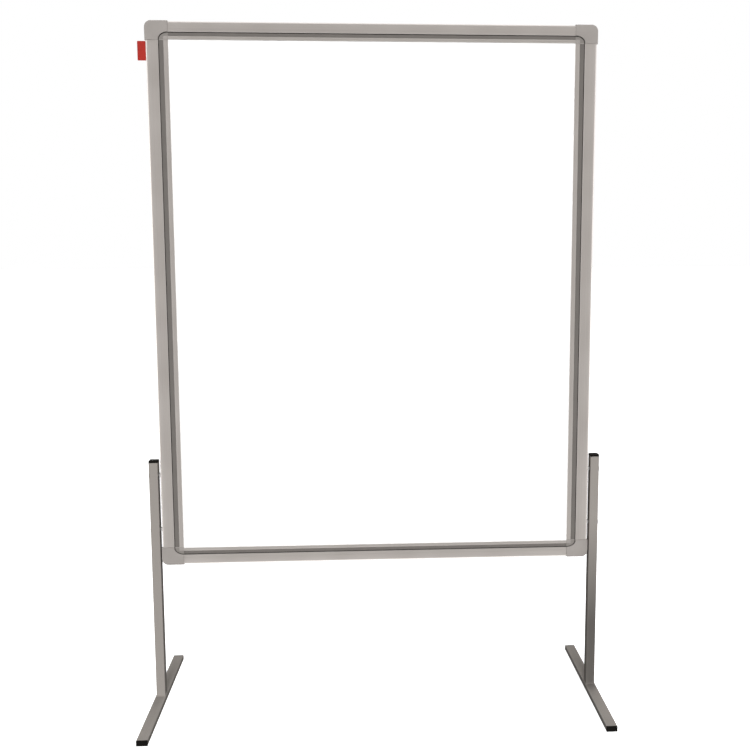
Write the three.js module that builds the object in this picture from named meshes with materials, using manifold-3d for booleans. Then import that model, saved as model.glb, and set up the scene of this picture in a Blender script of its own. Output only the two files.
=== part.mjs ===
// A free-standing whiteboard on two T-shaped legs, written as a standalone three.js scene.
// Units are millimetres. X is the width, Y the depth with the front at -Y, and Z points up.
// The origin is on the floor, under the middle of the board.

import * as THREE from 'three';
import { mergeVertices } from 'three/addons/utils/BufferGeometryUtils.js';
import Module from 'manifold-3d';

const wasm = await Module();
wasm.setup();

// ---------------------------------------------------------------- driving dimensions

const FIT = 0.3; // gap kept between two pieces that touch

const BOARD_WIDTH = 1196; // over the outer faces of the two stiles
const BOARD_HEIGHT = 1467; // over the outer faces of the two rails
const BOARD_BOTTOM = 402; // height of the bottom rail above the floor
const FRAME_DEPTH = 28; // front face to back face of a frame profile

const PROFILE_WALL = 2; // wall of the hollow frame profiles
const GROOVE_DEPTH = 4.8; // from the flange face down to the floor of the groove

// Widths across a profile, from its outer edge inward: flange, groove, lip.
const STILE = { flange: 33, groove: 13.4, lip: 12, edgeRadius: 5 };
const RAIL = { flange: 27, groove: 10.4, lip: 8.4, edgeRadius: 4 };

const LIP_DROP = 2.7; // from the flange face down to the lip face

// The slot along the outer edge of each stile takes the nuts that carry the legs.
const SLOT_PLAY = 0.5; // bolt to each side of the slot's mouth
const SLOT_WALL = 2.5; // wall on each side of the mouth
const SLOT_DEPTH = 9; // outer edge to the floor of the slot

const SHEET_THICKNESS = 0.5;
const PANEL_PLAY = 1; // room for the panel's edge at the bottom of its slot

const INLAY_THICKNESS = 1; // strip that lies in the groove
const INLAY_SLIT = 1; // open slit between the strip and the flange

const COVER_PROUD_FRONT = 1; // corner cover over the flange face
const COVER_PROUD_SIDE = 2; // corner cover over the outer edge
const COVER_OVERRUN = 2; // corner cover past the end of the rail's width
const COVER_RADIUS = 17;
const COVER_BEVEL = 1.6;
const COVER_WALL = 2.2;
const COVER_PEG_RADIUS = 3;
const COVER_PEG_END = 2; // end of the peg to the middle plane

const BRACKET_REACH = 60; // length of a bracket's arm inside a profile
const BRACKET_HOLE_CLEARANCE = 0.3;

const LEG_GAP = 6; // outer face of the stile to the inner face of the post
const POST_SIZE = 25;
const POST_ABOVE_BOLT = 42; // upper bolt to the top of the post's cap
const POST_RADIUS = 2;
const TUBE_WALL = 1.5;
const POST_CAP_FLANGE = 6;
const POST_CAP_PLUG = 14;
const POST_CAP_BEVEL = 1;

const FOOT_LENGTH = 500; // over both end caps
const FOOT_WIDTH = 30;
const FOOT_HEIGHT = 14; // of the tube alone
const FOOT_RADIUS = 1.5;
const FOOT_CAP_FLANGE = 3;
const FOOT_CAP_PLUG = 16;
const FOOT_CAP_BEVEL = 0.6;
const PLUG_RADIUS = 1; // corners of the plugs inside the tubes
const GLIDE_THICKNESS = 0.7; // pad under each end of the foot
const GLIDE_LENGTH = 26;
const GLIDE_WIDTH = 25;

const BOLT_ABOVE_BOARD = 98; // bottom of the board to the lower bolt
const BOLT_PITCH = 155; // lower bolt to upper bolt
const BOLT_DIAMETER = 8;
const BOLT_HEAD_OVERHANG = 3; // head past the shank, all round
const BOLT_HEAD_HEIGHT = 4.4;
const BOLT_SOCKET_SIZE = 5; // across the flats of the key
const BOLT_SOCKET_DEPTH = 2.4;
const BOLT_PLAY = 0.4; // radial play in every hole that a bolt passes
const WASHER_DIAMETER = 17;
const WASHER_THICKNESS = 1.6;
const SPACER_DIAMETER = 12;
const ACCESS_PLAY = 0.5; // washer to the edge of the hole it goes in through
const HOLE_PLUG_OVERLAP = 1.2; // plug's flange past the hole, all round
const HOLE_PLUG_FLANGE = 1;
const HOLE_PLUG_BEVEL = 0.5;
const HOLE_PLUG_DEPTH = 5; // plug's sleeve, inward from the post's outer face
const HOLE_PLUG_WALL = 1.6;
const NUT_LENGTH = 24;
const NUT_SIDE_PLAY = 1.5; // nut to each side of the slot
const NUT_FLOOR_PLAY = 0.6; // nut to the floor of the slot

const TAB_REACH = 24; // side tab, outward from the stile
const TAB_HEIGHT = 50;
const TAB_UNDER_COVER = 0.6; // end of the corner cover to the top of the tab
const TAB_THICKNESS = 1.4;
const TAB_SIDE_PLAY = 2; // foot of the tab to each side of the slot
const TAB_ROOT_THICKNESS = 2;
const TAB_RADIUS = 2;

// ---------------------------------------------------------------- worked out from them

const BOARD_TOP = BOARD_BOTTOM + BOARD_HEIGHT;
const HALF_DEPTH = FRAME_DEPTH / 2;
const HALF_WIDTH = BOARD_WIDTH / 2;
const LIP_OUTER = HALF_DEPTH - LIP_DROP; // face of a lip, from the middle plane
const LIP_INNER = LIP_OUTER - PROFILE_WALL;
const PANEL_HALF = LIP_INNER - FIT; // writing face
const GROOVE_FLOOR = HALF_DEPTH - GROOVE_DEPTH;
const INLAY_FACE = GROOVE_FLOOR + FIT + INLAY_THICKNESS;
const WALL_INNER = HALF_DEPTH - PROFILE_WALL; // inner face of the flange's wall
const STILE_WIDTH = STILE.flange + STILE.groove + STILE.lip;
const RAIL_WIDTH = RAIL.flange + RAIL.groove + RAIL.lip;
const COVER_RUN_Z = RAIL_WIDTH + COVER_OVERRUN; // the cover's length down the stile
const STILE_LENGTH = BOARD_HEIGHT - 2 * (COVER_RUN_Z + FIT);
const RAIL_LENGTH = BOARD_WIDTH - 2 * (STILE_WIDTH + FIT);
const POST_INNER = HALF_WIDTH + LEG_GAP;
const POST_CENTRE = POST_INNER + POST_SIZE / 2;
const FOOT_BOTTOM = GLIDE_THICKNESS + FIT;
const FOOT_TOP = FOOT_BOTTOM + FOOT_HEIGHT;
const BOLT_RADIUS = BOLT_DIAMETER / 2;
const SLOT_MOUTH = BOLT_DIAMETER + 2 * SLOT_PLAY;
const SLOT_HALF = HALF_DEPTH - STILE.edgeRadius; // half width of the slot behind its mouth
const BOLT_HEIGHTS = [
  BOARD_BOTTOM + BOLT_ABOVE_BOARD,
  BOARD_BOTTOM + BOLT_ABOVE_BOARD + BOLT_PITCH,
];
const POST_TOP = BOLT_HEIGHTS[1] + POST_ABOVE_BOLT;
const TAB_FROM_TOP = COVER_RUN_Z + TAB_UNDER_COVER;
const BOLT_HOLE = BOLT_RADIUS + BOLT_PLAY;
const ACCESS_HOLE = WASHER_DIAMETER / 2 + ACCESS_PLAY; // radius, in the post's outer wall

// ---------------------------------------------------------------- materials

function material(color, roughness, metalness) {
  return new THREE.MeshStandardMaterial({ color, roughness, metalness });
}

const aluminium = material(0xb4b2ae, 0.42, 0.85);
const cornerPlastic = material(0xa4a3a0, 0.55, 0.0);
const inlayPlastic = material(0x6b6a68, 0.6, 0.0);
const enamel = material(0xfbfbf9, 0.18, 0.0);
const coreBoard = material(0xc9b48c, 0.9, 0.0);
const castBracket = material(0x8f9194, 0.5, 0.8);
const legPaint = material(0x98958f, 0.45, 0.3);
const blackPlastic = material(0x1c1c1c, 0.5, 0.0);
const zincSteel = material(0xb9bcc0, 0.35, 0.9);
const tabRed = material(0xb4332b, 0.5, 0.0);

// ---------------------------------------------------------------- solids from geometry

function toSolid(geometry) {
  const bare = geometry.clone();
  bare.deleteAttribute('normal');
  bare.deleteAttribute('uv');
  const merged = mergeVertices(bare, 1e-5);
  return new wasm.Manifold(new wasm.Mesh({
    numProp: 3,
    vertProperties: new Float32Array(merged.attributes.position.array),
    triVerts: new Uint32Array(merged.index.array),
  }));
}

function toGeometry(solid) {
  const mesh = solid.getMesh();
  const indexed = new THREE.BufferGeometry();
  indexed.setAttribute('position', new THREE.BufferAttribute(mesh.vertProperties, 3));
  indexed.setIndex(new THREE.BufferAttribute(mesh.triVerts, 1));
  const geometry = indexed.toNonIndexed();
  geometry.computeVertexNormals();
  return geometry;
}

function boxSolid(x0, x1, y0, y1, z0, z1) {
  const geometry = new THREE.BoxGeometry(x1 - x0, y1 - y0, z1 - z0);
  geometry.translate((x0 + x1) / 2, (y0 + y1) / 2, (z0 + z1) / 2);
  return toSolid(geometry);
}

function extrude(shape, length, options = {}) {
  return new THREE.ExtrudeGeometry(shape, { depth: length, bevelEnabled: false, ...options });
}

// A solid cylinder along one axis, centred on a point.
function cylinderSolid(axis, radius, length, centre, sides = 24) {
  const geometry = new THREE.CylinderGeometry(radius, radius, length, sides);
  if (axis === 'x') geometry.rotateZ(Math.PI / 2);
  if (axis === 'z') geometry.rotateX(Math.PI / 2);
  geometry.translate(...centre);
  return toSolid(geometry);
}

// A rectangle with rounded corners, centred on the origin. Each arc joins the one before it
// with a straight line, so no point is given twice.
function roundedRectangle(width, height, radius, outline = new THREE.Shape()) {
  const x = width / 2;
  const y = height / 2;
  outline.absarc(x - radius, -y + radius, radius, -Math.PI / 2, 0, false);
  outline.absarc(x - radius, y - radius, radius, 0, Math.PI / 2, false);
  outline.absarc(-x + radius, y - radius, radius, Math.PI / 2, Math.PI, false);
  outline.absarc(-x + radius, -y + radius, radius, Math.PI, 1.5 * Math.PI, false);
  return outline;
}

// A rectangular tube along +Z, centred on the Z axis and starting at z = 0.
function tube(width, depth, wall, radius, length) {
  const section = roundedRectangle(width, depth, radius);
  const innerRadius = Math.max(radius - wall, 0.5);
  const bore = roundedRectangle(width - 2 * wall, depth - 2 * wall, innerRadius, new THREE.Path());
  section.holes.push(bore);
  return extrude(section, length, { curveSegments: 6 });
}

// ---------------------------------------------------------------- the scene

const part = new THREE.Group();

function add(name, geometry, surface, parent = part) {
  const mesh = new THREE.Mesh(geometry, surface);
  mesh.name = name;
  parent.add(mesh);
  return mesh;
}

// The four corners of the board: x and z are the directions out of the board.
const CORNERS = [
  { name: 'top_left', x: -1, z: 1 },
  { name: 'top_right', x: 1, z: 1 },
  { name: 'bottom_left', x: -1, z: -1 },
  { name: 'bottom_right', x: 1, z: -1 },
];
const SIDES = [
  { name: 'left', x: -1 },
  { name: 'right', x: 1 },
];
const FACES = [
  { name: 'front', y: -1 },
  { name: 'back', y: 1 },
];

// ---------------------------------------------------------------- frame profiles

// The outline of a frame profile: x runs inward from the outer edge, y is the depth.
function profileOutline(size, hasSlot) {
  const lipStart = size.flange + size.groove;
  const lipEnd = lipStart + size.lip;
  const web = lipStart + PROFILE_WALL;
  const radius = size.edgeRadius;
  const straight = HALF_DEPTH - radius;

  const shape = new THREE.Shape();
  shape.absarc(radius, -straight, radius, Math.PI, 1.5 * Math.PI, false);
  shape.lineTo(size.flange, -HALF_DEPTH);
  shape.lineTo(size.flange, -GROOVE_FLOOR);
  shape.lineTo(lipStart, -GROOVE_FLOOR);
  shape.lineTo(lipStart, -LIP_OUTER);
  shape.lineTo(lipEnd, -LIP_OUTER);
  shape.lineTo(lipEnd, -LIP_INNER);
  shape.lineTo(web, -LIP_INNER);
  shape.lineTo(web, LIP_INNER);
  shape.lineTo(lipEnd, LIP_INNER);
  shape.lineTo(lipEnd, LIP_OUTER);
  shape.lineTo(lipStart, LIP_OUTER);
  shape.lineTo(lipStart, GROOVE_FLOOR);
  shape.lineTo(size.flange, GROOVE_FLOOR);
  shape.lineTo(size.flange, HALF_DEPTH);
  shape.absarc(radius, straight, radius, Math.PI / 2, Math.PI, false);
  if (hasSlot) {
    shape.lineTo(0, SLOT_MOUTH / 2);
    shape.lineTo(SLOT_WALL, SLOT_MOUTH / 2);
    shape.lineTo(SLOT_WALL, straight);
    shape.lineTo(radius, WALL_INNER);
    shape.lineTo(SLOT_DEPTH, WALL_INNER);
    shape.lineTo(SLOT_DEPTH, -WALL_INNER);
    shape.lineTo(radius, -WALL_INNER);
    shape.lineTo(SLOT_WALL, -straight);
    shape.lineTo(SLOT_WALL, -SLOT_MOUTH / 2);
    shape.lineTo(0, -SLOT_MOUTH / 2);
  }
  return shape;
}

// A hollow frame profile along +Z: the outline less its chamber and the space under the groove.
function profileGeometry(size, hasSlot, length) {
  const chamberStart = hasSlot ? SLOT_DEPTH + PROFILE_WALL : PROFILE_WALL;
  const chamberEnd = size.flange - PROFILE_WALL;
  const grooveEnd = size.flange + size.groove;
  const under = GROOVE_FLOOR - PROFILE_WALL;
  const past = length + 1;
  return toGeometry(
    toSolid(extrude(profileOutline(size, hasSlot), length, { curveSegments: 6 }))
      .subtract(boxSolid(chamberStart, chamberEnd, -WALL_INNER, WALL_INNER, -1, past))
      .subtract(boxSolid(size.flange, grooveEnd, -under, under, -1, past)),
  );
}

// The strip of plastic that lies in a groove, drawn in the profile's own section.
function inlaySection(size, side) {
  const near = size.flange + INLAY_SLIT;
  const far = size.flange + size.groove - FIT;
  const low = side * (GROOVE_FLOOR + FIT);
  const high = side * INLAY_FACE;
  const shape = new THREE.Shape();
  shape.moveTo(near, low);
  shape.lineTo(far, low);
  shape.lineTo(far, high);
  shape.lineTo(near, high);
  return shape;
}

// Puts a profile or an inlay, extruded along +Z, where its place in the frame is.
function placeProfile(mesh, place) {
  if (place === 'stile_left') {
    mesh.position.set(-HALF_WIDTH, 0, BOARD_BOTTOM + COVER_RUN_Z + FIT);
  } else if (place === 'stile_right') {
    mesh.rotation.z = Math.PI;
    mesh.position.set(HALF_WIDTH, 0, BOARD_BOTTOM + COVER_RUN_Z + FIT);
  } else if (place === 'rail_bottom') {
    mesh.rotation.y = -Math.PI / 2;
    mesh.position.set(RAIL_LENGTH / 2, 0, BOARD_BOTTOM);
  } else {
    mesh.rotation.y = Math.PI / 2;
    mesh.position.set(-RAIL_LENGTH / 2, 0, BOARD_TOP);
  }
}

for (const place of ['stile_left', 'stile_right', 'rail_top', 'rail_bottom']) {
  const isStile = place.startsWith('stile');
  const size = isStile ? STILE : RAIL;
  const length = isStile ? STILE_LENGTH : RAIL_LENGTH;
  placeProfile(add(`frame_${place}`, profileGeometry(size, isStile, length), aluminium), place);
  for (const face of FACES) {
    // The right stile is turned half round, so its own front is the other way about.
    const side = place === 'stile_right' ? -face.y : face.y;
    const strip = extrude(inlaySection(size, side), length);
    placeProfile(add(`groove_inlay_${place}_${face.name}`, strip, inlayPlastic), place);
  }
}

// ---------------------------------------------------------------- corner covers and brackets

// Corner pieces are drawn in a corner's own frame: x and z run inward from the outer edges of
// the board, and y is the depth. placeCorner turns that frame to each corner of the board.
function placeCorner(solid, corner) {
  const mirrorX = corner.x > 0;
  const mirrorZ = corner.z > 0;
  let placed = solid;
  if (mirrorX) placed = placed.mirror([1, 0, 0]);
  if (mirrorZ) placed = placed.mirror([0, 0, 1]);
  return placed.translate([corner.x * HALF_WIDTH, 0, mirrorZ ? BOARD_TOP : BOARD_BOTTOM]);
}

// A plate in the corner's frame, from an outline in x and z, between two depths.
function cornerPlate(shape, y0, y1, options = {}) {
  const geometry = extrude(shape, y1 - y0, options);
  geometry.rotateX(Math.PI / 2); // the outline's y becomes z, and its depth runs to -y
  geometry.translate(0, y1, 0);
  return toSolid(geometry);
}

// The outline of the corner block, rounded at the board's corner and long past the joints.
function cornerOutline(inset, radius) {
  const start = -COVER_PROUD_SIDE + inset;
  const endX = STILE_WIDTH + COVER_RADIUS;
  const endZ = COVER_RUN_Z + COVER_RADIUS;
  const shape = new THREE.Shape();
  shape.absarc(start + radius, start + radius, radius, Math.PI, 1.5 * Math.PI, false);
  shape.lineTo(endX, start);
  shape.lineTo(endX, endZ);
  shape.lineTo(start, endZ);
  return shape;
}

// The quarter ellipse where the groove turns the corner, around the corner of the opening.
function turnOutline(extra) {
  const radiusX = STILE.groove + STILE.lip + extra;
  const radiusZ = RAIL.groove + RAIL.lip + extra;
  const shape = new THREE.Shape();
  shape.absellipse(STILE_WIDTH, RAIL_WIDTH, radiusX, radiusZ, 0, 2 * Math.PI, false, 0);
  return shape;
}

// The part of the corner where the two lips meet.
function lipOutline() {
  const shape = new THREE.Shape();
  const x0 = STILE.flange + STILE.groove;
  const z0 = RAIL.flange + RAIL.groove;
  const endX = STILE_WIDTH + COVER_RADIUS;
  const endZ = COVER_RUN_Z + COVER_RADIUS;
  shape.moveTo(x0, z0);
  shape.lineTo(endX, z0);
  shape.lineTo(endX, endZ);
  shape.lineTo(x0, endZ);
  return shape;
}

const bracketX0 = SLOT_DEPTH + PROFILE_WALL + FIT;
const bracketX1 = STILE.flange - PROFILE_WALL - FIT;
const bracketZ0 = PROFILE_WALL + FIT;
const bracketZ1 = RAIL.flange - PROFILE_WALL - FIT;
const PEG = { x: (bracketX0 + bracketX1) / 2, z: (bracketZ0 + bracketZ1) / 2 };

function frontCover() {
  const face = HALF_DEPTH + COVER_PROUD_FRONT;
  const bevel = {
    bevelEnabled: true,
    bevelThickness: COVER_BEVEL,
    bevelSize: COVER_BEVEL,
    bevelOffset: -COVER_BEVEL,
    bevelSegments: 3,
    curveSegments: 8,
  };
  const slab = cornerPlate(cornerOutline(0, COVER_RADIUS), -face + COVER_BEVEL, face - COVER_BEVEL, bevel);
  const block = slab
    .trimByPlane([-1, 0, 0], -STILE_WIDTH)
    .trimByPlane([0, 0, -1], -COVER_RUN_Z)
    .trimByPlane([0, -1, 0], FIT / 2);

  const curved = { curveSegments: 24 };
  const turn = cornerPlate(turnOutline(0), -2 * face, -INLAY_FACE, curved);
  const lip = cornerPlate(lipOutline(), -2 * face, -LIP_OUTER);
  const lipFill = cornerPlate(lipOutline(), -LIP_OUTER, -INLAY_FACE);

  const inside = cornerOutline(COVER_WALL, COVER_RADIUS - COVER_WALL);
  const mainPocket = cornerPlate(inside, -face + COVER_WALL, 0, { curveSegments: 8 })
    .subtract(cornerPlate(turnOutline(COVER_WALL), -2 * face, 0, curved));
  const groovePocket = cornerPlate(inside, -INLAY_FACE + PROFILE_WALL, 0, { curveSegments: 8 });
  const lipPocket = cornerPlate(lipOutline(), -LIP_INNER, 0);

  const pegLength = face - COVER_WALL / 2 - COVER_PEG_END;
  const pegCentre = [PEG.x, -COVER_PEG_END - pegLength / 2, PEG.z];
  const peg = cylinderSolid('y', COVER_PEG_RADIUS, pegLength, pegCentre);

  return block
    .subtract(turn.subtract(lipFill))
    .subtract(lip)
    .subtract(mainPocket)
    .subtract(groovePocket)
    .subtract(lipPocket)
    .add(peg);
}

function bracket() {
  const half = WALL_INNER - FIT;
  const armDown = boxSolid(bracketX0, bracketX1, -half, half, bracketZ0, COVER_RUN_Z + BRACKET_REACH);
  const armAcross = boxSolid(bracketX0, STILE_WIDTH + BRACKET_REACH, -half, half, bracketZ0, bracketZ1);
  const holeRadius = COVER_PEG_RADIUS + BRACKET_HOLE_CLEARANCE;
  const hole = cylinderSolid('y', holeRadius, 2 * FRAME_DEPTH, [PEG.x, 0, PEG.z]);
  return armDown.add(armAcross).subtract(hole);
}

const cover = frontCover();
const angle = bracket();
for (const corner of CORNERS) {
  add(`corner_bracket_${corner.name}`, toGeometry(placeCorner(angle, corner)), castBracket);
  for (const face of FACES) {
    const half = face.y < 0 ? cover : cover.mirror([0, 1, 0]);
    add(`corner_cover_${corner.name}_${face.name}`, toGeometry(placeCorner(half, corner)), cornerPlastic);
  }
}

// ---------------------------------------------------------------- writing panel

const panelHalfWidth = HALF_WIDTH - STILE.flange - STILE.groove - PROFILE_WALL - PANEL_PLAY;
const panelMargin = RAIL.flange + RAIL.groove + PROFILE_WALL + PANEL_PLAY;
const panelHeight = BOARD_HEIGHT - 2 * panelMargin;
const panelCentre = BOARD_BOTTOM + BOARD_HEIGHT / 2;

function panelLayer(name, y0, y1, surface) {
  const layer = add(name, new THREE.BoxGeometry(2 * panelHalfWidth, y1 - y0, panelHeight), surface);
  layer.position.set(0, (y0 + y1) / 2, panelCentre);
}

const coreHalf = PANEL_HALF - SHEET_THICKNESS - FIT;
panelLayer('writing_sheet_front', -PANEL_HALF, -PANEL_HALF + SHEET_THICKNESS, enamel);
panelLayer('panel_core', -coreHalf, coreHalf, coreBoard);
panelLayer('writing_sheet_back', PANEL_HALF - SHEET_THICKNESS, PANEL_HALF, enamel);

// ---------------------------------------------------------------- side tab

// A thin blade outside the stile, with a foot that is caught in the slot. It is drawn with
// x = 0 at the stile's outer face and z = 0 at the top of the board.
function tabGeometry() {
  const rootStart = SLOT_WALL + FIT;
  const bladeEnd = rootStart + TAB_ROOT_THICKNESS / 2;
  const middle = -TAB_FROM_TOP - TAB_HEIGHT / 2;
  const rootHalf = TAB_HEIGHT / 2 - TAB_RADIUS;
  const rootSide = SLOT_HALF - TAB_SIDE_PLAY;
  const outline = roundedRectangle(TAB_REACH + bladeEnd, TAB_HEIGHT, TAB_RADIUS);
  const blade = extrude(outline, TAB_THICKNESS, { curveSegments: 6 });
  blade.rotateX(Math.PI / 2);
  blade.translate((bladeEnd - TAB_REACH) / 2, TAB_THICKNESS / 2, middle);
  const root = boxSolid(
    rootStart,
    rootStart + TAB_ROOT_THICKNESS,
    -rootSide,
    rootSide,
    middle - rootHalf,
    middle + rootHalf,
  );
  return toGeometry(toSolid(blade).add(root));
}

add('side_tab', tabGeometry(), tabRed).position.set(-HALF_WIDTH, 0, BOARD_TOP);

// ---------------------------------------------------------------- legs

// The left post. Each bolt passes a small hole in the wall that faces the board, at +X, and its
// head goes in through a wide one in the outer wall.
function postGeometry() {
  const bottom = FOOT_TOP + FIT;
  const top = POST_TOP - POST_CAP_FLANGE - FIT;
  const body = toSolid(tube(POST_SIZE, POST_SIZE, TUBE_WALL, POST_RADIUS, top - bottom));
  const holes = BOLT_HEIGHTS.flatMap((z) => [
    cylinderSolid('x', BOLT_HOLE, POST_SIZE, [POST_SIZE / 2, 0, z - bottom]),
    cylinderSolid('x', ACCESS_HOLE, POST_SIZE, [-POST_SIZE / 2, 0, z - bottom], 48),
  ]);
  const drilled = holes.reduce((solid, hole) => solid.subtract(hole), body);
  return toGeometry(drilled.translate([0, 0, bottom]));
}

// A tube's cap facing +Z: a flange with a bevelled top edge on z = 0, and a plug below it.
// The plug can lie off the middle of the flange along y.
function capSolid(flange, plug, offset = 0) {
  const hidden = flange.bevel;
  const outline = roundedRectangle(flange.width, flange.depth, flange.radius);
  const top = extrude(outline, flange.height - flange.bevel + hidden, {
    bevelEnabled: true,
    bevelThickness: flange.bevel,
    bevelSize: flange.bevel,
    bevelOffset: -flange.bevel,
    bevelSegments: 3,
    curveSegments: 6,
  });
  top.translate(0, 0, -hidden);
  const plugOutline = roundedRectangle(plug.width, plug.depth, plug.radius);
  const below = extrude(plugOutline, plug.length + flange.height / 2, { curveSegments: 4 });
  below.translate(0, offset, -plug.length);
  return toSolid(top).trimByPlane([0, 0, 1], 0).add(toSolid(below));
}

// What goes inside a tube of this size, with play all round.
function plugFor(width, depth, length) {
  const inset = 2 * (TUBE_WALL + FIT);
  return { width: width - inset, depth: depth - inset, length, radius: PLUG_RADIUS };
}

function postCapSolid() {
  const flange = {
    width: POST_SIZE,
    depth: POST_SIZE,
    height: POST_CAP_FLANGE,
    radius: POST_RADIUS,
    bevel: POST_CAP_BEVEL,
  };
  return capSolid(flange, plugFor(POST_SIZE, POST_SIZE, POST_CAP_PLUG));
}

// The cap on the front end of a foot, in place: its plug points to +Y. The flange reaches
// down to the floor, and a thin glide runs back from it under the tube.
function footCapSolid() {
  const flange = {
    width: FOOT_WIDTH,
    depth: FOOT_TOP,
    height: FOOT_CAP_FLANGE,
    radius: FOOT_RADIUS,
    bevel: FOOT_CAP_BEVEL,
  };
  const end = -FOOT_LENGTH / 2 + FOOT_CAP_FLANGE;
  const cap = capSolid(flange, plugFor(FOOT_WIDTH, FOOT_HEIGHT, FOOT_CAP_PLUG), FOOT_BOTTOM / 2)
    .rotate([90, 0, 0])
    .translate([0, end, FOOT_TOP / 2]);
  const half = GLIDE_WIDTH / 2;
  const glide = boxSolid(-half, half, end - FOOT_CAP_FLANGE / 2, end + GLIDE_LENGTH, 0, GLIDE_THICKNESS);
  return cap.add(glide);
}

const footCap = footCapSolid();
const postCap = postCapSolid();
const footTubeLength = FOOT_LENGTH - 2 * (FOOT_CAP_FLANGE + FIT);

for (const side of SIDES) {
  const leg = new THREE.Group();
  leg.position.x = side.x * POST_CENTRE;
  part.add(leg);

  const post = add(`${side.name}_post`, postGeometry(), legPaint, leg);
  post.rotation.z = side.x < 0 ? 0 : Math.PI;

  add(`${side.name}_post_cap`, toGeometry(postCap), blackPlastic, leg)
    .position.z = POST_TOP - POST_CAP_FLANGE;

  const foot = add(
    `${side.name}_foot`,
    tube(FOOT_WIDTH, FOOT_HEIGHT, TUBE_WALL, FOOT_RADIUS, footTubeLength),
    legPaint,
    leg,
  );
  foot.rotation.x = -Math.PI / 2;
  foot.position.set(0, -footTubeLength / 2, FOOT_BOTTOM + FOOT_HEIGHT / 2);

  add(`${side.name}_foot_cap_front`, toGeometry(footCap), blackPlastic, leg);
  add(`${side.name}_foot_cap_back`, toGeometry(footCap.mirror([0, 1, 0])), blackPlastic, leg);
}

// ---------------------------------------------------------------- bolts between legs and board

// Drawn along +X, outward from the stile, with x = 0 at the stile's outer face.
const washerStart = LEG_GAP + TUBE_WALL + FIT;
const headSeat = washerStart + WASHER_THICKNESS + FIT;
const boltTip = -SLOT_DEPTH + 2 * FIT;

// Revolves an outline of [distance along the bolt, radius] points about the X axis.
function revolve(points, sides) {
  const outline = points.map(([along, radius]) => new THREE.Vector2(radius, along));
  const geometry = new THREE.LatheGeometry(outline, sides);
  geometry.rotateZ(-Math.PI / 2);
  return geometry;
}

function boltSolid() {
  const r = BOLT_RADIUS;
  const head = BOLT_RADIUS + BOLT_HEAD_OVERHANG;
  const chamfer = 0.8;
  const dome = [0.35, 0.65, 0.85, 0.96].map((t) => [
    headSeat + BOLT_HEAD_HEIGHT * t,
    head * Math.sqrt(1 - 0.72 * t * t),
  ]);
  const body = toSolid(revolve([
    [boltTip, 0],
    [boltTip, r - chamfer],
    [boltTip + chamfer, r],
    [headSeat, r],
    [headSeat, head],
    ...dome,
    [headSeat + BOLT_HEAD_HEIGHT, head * 0.45],
    [headSeat + BOLT_HEAD_HEIGHT, 0],
  ], 24));
  const keyRadius = BOLT_SOCKET_SIZE / Math.sqrt(3);
  const top = headSeat + BOLT_HEAD_HEIGHT;
  const key = cylinderSolid('x', keyRadius, 2 * BOLT_SOCKET_DEPTH, [top, 0, 0], 6);
  return body.subtract(key);
}

function ringSolid(diameter, hole, x0, x1) {
  const middle = [(x0 + x1) / 2, 0, 0];
  const disc = cylinderSolid('x', diameter / 2, x1 - x0, middle);
  return disc.subtract(cylinderSolid('x', hole, 2 * (x1 - x0), middle));
}

function nutSolid() {
  const half = SLOT_HALF - NUT_SIDE_PLAY;
  const outer = -SLOT_WALL - FIT;
  const inner = -SLOT_DEPTH + NUT_FLOOR_PLAY;
  const block = boxSolid(inner, outer, -half, half, -NUT_LENGTH / 2, NUT_LENGTH / 2);
  return block.subtract(cylinderSolid('x', BOLT_HOLE, 2 * SLOT_DEPTH, [-SLOT_DEPTH, 0, 0]));
}

// A plug that closes an access hole: a bevelled flange on the post, and a sleeve inside it.
function holePlugSolid() {
  const seat = LEG_GAP + POST_SIZE + FIT;
  const face = seat + HOLE_PLUG_FLANGE;
  const end = LEG_GAP + POST_SIZE - HOLE_PLUG_DEPTH;
  const flange = ACCESS_HOLE + HOLE_PLUG_OVERLAP;
  const sleeve = ACCESS_HOLE - FIT;
  const bore = sleeve - HOLE_PLUG_WALL;
  return toSolid(revolve([
    [seat, 0],
    [seat, bore],
    [end, bore],
    [end, sleeve],
    [seat, sleeve],
    [seat, flange],
    [face - HOLE_PLUG_BEVEL, flange],
    [face, flange - HOLE_PLUG_BEVEL],
    [face, 0],
  ], 48));
}

const fasteners = [
  ['clamp_bolt', boltSolid(), zincSteel],
  ['washer', ringSolid(WASHER_DIAMETER, BOLT_HOLE, washerStart, washerStart + WASHER_THICKNESS), zincSteel],
  ['spacer', ringSolid(SPACER_DIAMETER, BOLT_HOLE, FIT, LEG_GAP - FIT), zincSteel],
  ['slot_nut', nutSolid(), zincSteel],
  ['hole_plug', holePlugSolid(), blackPlastic],
];

for (const side of SIDES) {
  BOLT_HEIGHTS.forEach((height, index) => {
    const level = index === 0 ? 'lower' : 'upper';
    for (const [name, solid, surface] of fasteners) {
      const mesh = add(`${name}_${side.name}_${level}`, toGeometry(solid), surface);
      mesh.position.set(side.x * HALF_WIDTH, 0, height);
      mesh.rotation.z = side.x < 0 ? Math.PI : 0;
    }
  });
}

export default part;
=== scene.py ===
# %% [markdown]
# # A free-standing whiteboard on two T-shaped legs
# The object is a double-sided writing panel in an extruded aluminium frame. Grey moulded covers
# close the four corners, and two square posts on flat feet carry it.
#
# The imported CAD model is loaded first. It says where every piece is, so no size below is a guess:
# each one is read from the box of a CAD node, or is a small finishing size such as a rounded edge.

from math import pi, radians

import bmesh
import bpy
import numpy as np
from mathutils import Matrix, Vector
from mathutils.geometry import tessellate_polygon


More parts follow.
